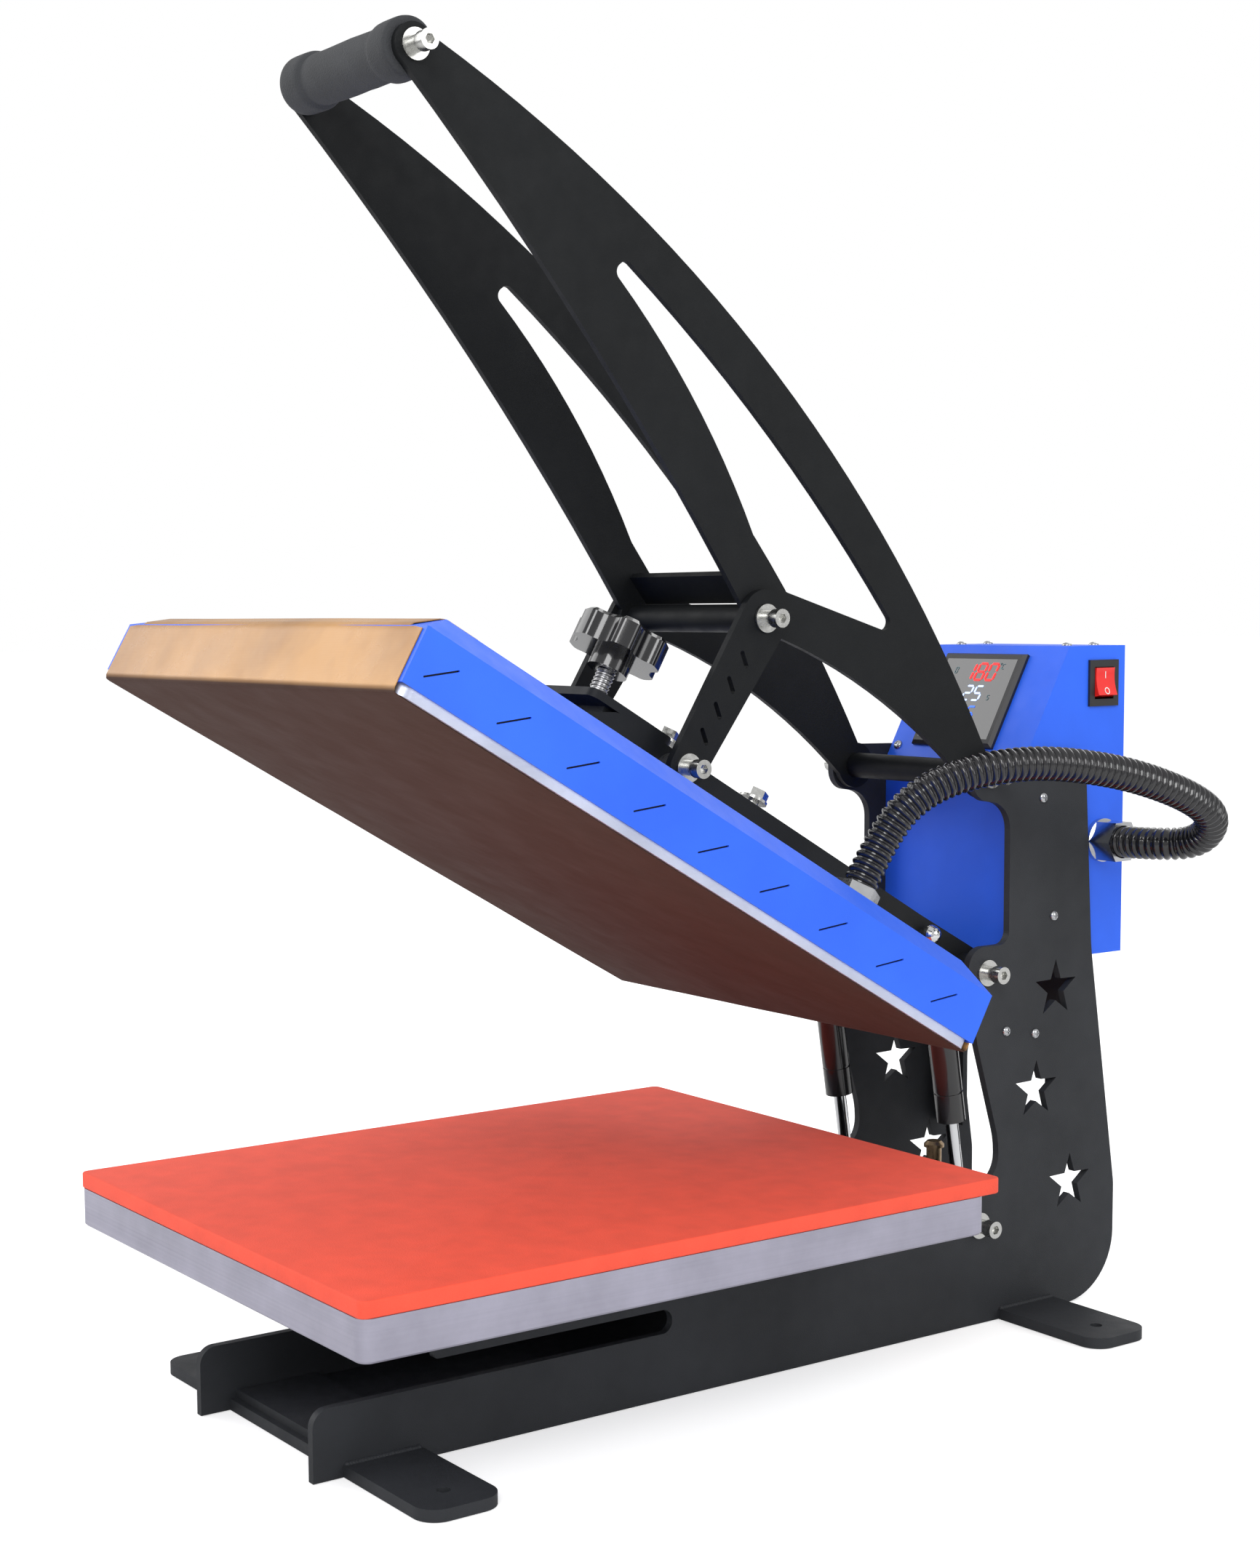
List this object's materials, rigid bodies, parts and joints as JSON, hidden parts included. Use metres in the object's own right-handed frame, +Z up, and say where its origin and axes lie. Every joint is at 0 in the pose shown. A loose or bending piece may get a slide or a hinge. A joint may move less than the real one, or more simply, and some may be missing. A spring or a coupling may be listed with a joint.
{
  "type": "clamshell heat press",
  "caption": "Auto-open clamshell heat press, 400 by 500 mm platen, charcoal steel frame, blue covers, coral pad, gas springs, holding magnet and box with digital display.",
  "frame": {"origin": "bench surface, at the centre of the rectangle of the four foot bolt holes", "axes": "X across the machine, +X to the operator's right when standing at the front and looking at the tower; +Y from the operator to the tower; +Z up"},
  "size_m": [0.404, 0.772, 0.9155],
  "materials": {
    "plate_charcoal": "textured charcoal powder coat, matte",
    "foot_black": "black powder coat, matte",
    "platen_aluminium": "cast aluminium, satin",
    "pad_silicone": "coral silicone foam rubber, matte",
    "shaft_steel": "turned steel, satin",
    "bolt_zinc": "bright zinc plate",
    "washer_bronze": "sintered bronze, satin",
    "magnet_nickel": "nickel plate, satin",
    "stud_chrome": "polished chrome",
    "box_blue": "bright blue powder coat, satin",
    "screw_dark": "black zinc, satin",
    "bezel_black": "black ABS, fine texture",
    "display_glass": "dark acrylic window, gloss",
    "board_green": "green solder mask",
    "gland_chrome": "nickel plated brass, bright",
    "hose_black": "black ribbed plastic sleeve, gloss",
    "rocker_red": "red switch plastic, gloss",
    "arm_black": "black powder coat, satin",
    "slab_cast": "cast aluminium, ground face",
    "heater_steel": "sheathed heating element, heat tinted",
    "insulation_white": "white fibre blanket",
    "cover_blue": "bright blue powder coat, satin",
    "sheet_tan": "tan coated glass cloth, smooth",
    "knob_black": "black moulded plastic, satin",
    "handle_black": "near black powder coat, satin",
    "grip_foam_black": "black foam sleeve, matte",
    "link_black": "near black powder coat, satin",
    "spacer_steel": "turned steel, satin",
    "rod_chrome": "hard chrome, polished",
    "spring_black": "black gas spring tube, semi gloss"
  },
  "bodies": {
    "base": {"side_plate_right": "plate_charcoal", "side_plate_left": "plate_charcoal", "front_cross_plate": "plate_charcoal", "back_plate": "plate_charcoal", "platen_bars": "plate_charcoal", "front_foot": "foot_black", "rear_foot": "foot_black", "magnet_bar": "foot_black", "lower_platen": "platen_aluminium", "silicone_pad": "pad_silicone", "spring_shaft": "shaft_steel", "tower_bolts": "bolt_zinc", "hinge_washers": "washer_bronze", "holding_magnet": "magnet_nickel", "magnet_stud": "stud_chrome", "control_box": "box_blue", "box_back_cover": "box_blue", "panel_screws": "screw_dark", "display_bezel": "bezel_black", "power_inlet": "bezel_black", "switch_case": "bezel_black", "display_window": "display_glass", "control_board": "board_green", "box_gland": "gland_chrome", "conduit_hose": "hose_black"},
    "rocker": {"switch_rocker": "rocker_red"},
    "arm": {"arm_bar_right": "arm_black", "arm_bar_left": "arm_black", "guide_bars": "arm_black", "screw_block": "arm_black", "screw_plate": "arm_black", "pivot_tube": "shaft_steel", "ball_studs": "stud_chrome", "screw_nut": "bolt_zinc"},
    "heat_platen": {"heat_slab": "slab_cast", "heater_tube": "heater_steel", "insulation": "insulation_white", "platen_cover": "cover_blue", "release_sheet": "sheet_tan", "guide_bolts": "bolt_zinc", "thrust_pad": "bolt_zinc", "platen_gland": "gland_chrome"},
    "knob": {"pressure_knob": "knob_black", "pressure_screw": "shaft_steel"},
    "handle": {"handle_plate_right": "handle_black", "handle_plate_left": "handle_black", "handle_brace": "handle_black", "handle_tubes": "shaft_steel", "grip_tube": "shaft_steel", "grip_foam": "grip_foam_black", "grip_bolts": "bolt_zinc", "link_top_bolts": "bolt_zinc"},
    "links": {"link_right": "link_black", "link_left": "link_black", "link_spacers": "spacer_steel", "link_low_bolts": "bolt_zinc"},
    "gas_rods": {"gas_rod_right": "rod_chrome", "gas_rod_left": "rod_chrome"},
    "gas_tubes": {"gas_tube_right": "spring_black", "gas_tube_left": "spring_black"}
  },
  "joints": [
    {"name": "handle_swing", "type": "hinge", "parent": "base", "child": "handle", "pos_m": [0, 0.246, 0.421], "axis": [1, 0, 0], "range_deg": [0, 44.3], "stiffness_Nm_per_rad": 200, "springref_deg": -24.98},
    {"name": "arm_swing", "type": "hinge", "parent": "base", "child": "arm", "pos_m": [0, 0.244, 0.271], "axis": [1, 0, 0], "range_deg": [0, 29.84], "deforming": ["conduit_hose"]},
    {"name": "link_swing", "type": "hinge", "parent": "handle", "child": "links", "pos_m": [0, 0.029, 0.54], "axis": [1, 0, 0], "range_deg": [-59.7, 0]},
    {"name": "rod_swing", "type": "hinge", "parent": "base", "child": "gas_rods", "pos_m": [0, 0.238, 0.077], "axis": [1, 0, 0], "range_deg": [0, 3.81]},
    {"name": "tube_slide", "type": "slide", "parent": "gas_rods", "child": "gas_tubes", "axis": [0, 0.1526, -0.9883], "range_m": [0, 0.0222]},
    {"name": "platen_lift", "type": "slide", "parent": "arm", "child": "heat_platen", "axis": [0, -0.4976, -0.8674], "range_m": [0, 0.024], "deforming": ["conduit_hose"]},
    {"name": "knob_turn", "type": "hinge", "parent": "heat_platen", "child": "knob", "pos_m": [0, -0.04389, 0.51373], "axis": [0, -0.4976, -0.8674], "range_deg": [0, 2880], "deforming": ["conduit_hose"]},
    {"name": "switch_rock", "type": "hinge", "parent": "base", "child": "rocker", "pos_m": [0.072, 0.372, 0.487], "axis": [0, 1, 0], "range_deg": [0, 16]}
  ],
  "couplings": [
    {"joint": "arm_swing", "follows": "handle_swing", "ratio": 0.6736},
    {"joint": "link_swing", "follows": "handle_swing", "ratio": -1.3477},
    {"joint": "rod_swing", "follows": "handle_swing", "ratio": 0.086},
    {"joint": "tube_slide", "follows": "handle_swing", "m_per_rad": 0.0287},
    {"joint": "knob_turn", "follows": "platen_lift", "rad_per_m": 2094.4}
  ]
}
